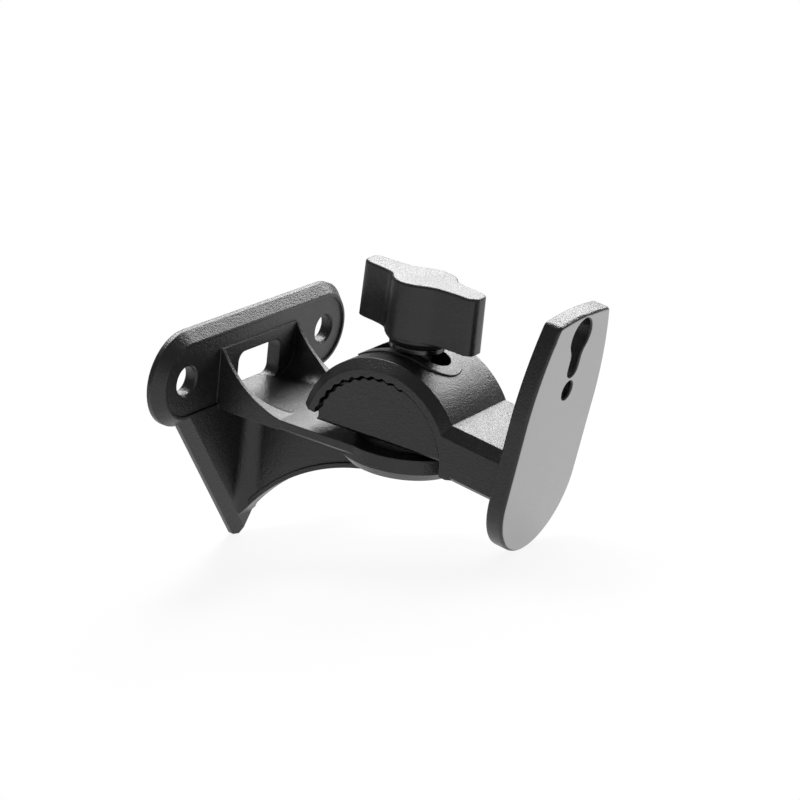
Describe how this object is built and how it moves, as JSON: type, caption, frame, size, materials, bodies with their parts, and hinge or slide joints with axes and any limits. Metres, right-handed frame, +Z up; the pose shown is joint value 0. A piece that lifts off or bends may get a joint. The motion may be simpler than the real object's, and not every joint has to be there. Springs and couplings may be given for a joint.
{
  "type": "speaker wall bracket",
  "caption": "Small speaker wall bracket with a gusseted wall plate, a toothed swivel and tilt joint, a winged clamp knob and a keyhole speaker plate.",
  "frame": {"origin": "on the wall plane, midway between the two wall screws", "axes": "+Y into the wall, -Y out along the arm, +Z up, +X along the wall plate's bar"},
  "size_m": [0.085, 0.0973, 0.0905],
  "materials": {
    "grained_black_plastic": "fine-grained satin black moulding",
    "black_plastic": "satin black moulding",
    "black_steel": "oiled black steel",
    "plated_steel": "zinc-plated steel",
    "brass_insert": "machined brass"
  },
  "bodies": {
    "bracket": {"wall_bracket": "grained_black_plastic", "clamp_bolt": "plated_steel"},
    "core": {"swivel_core": "grained_black_plastic"},
    "arm": {"speaker_arm": "grained_black_plastic"},
    "knob": {"wing_knob": "black_plastic", "knob_insert": "brass_insert", "knob_washer": "black_steel"}
  },
  "joints": [
    {"name": "swivel", "type": "hinge", "parent": "bracket", "child": "core", "pos_m": [0, -0.0515, 0], "axis": [0, 0, 1], "range_deg": [-90, 90]},
    {"name": "tilt", "type": "hinge", "parent": "core", "child": "arm", "pos_m": [0, -0.0515, -0.0086], "axis": [1, 0, 0], "range_deg": [-7, 20]},
    {"name": "knob_turn", "type": "hinge", "parent": "bracket", "child": "knob", "pos_m": [0, -0.0515, 0], "axis": [0, 0, 1], "continuous": true}
  ]
}
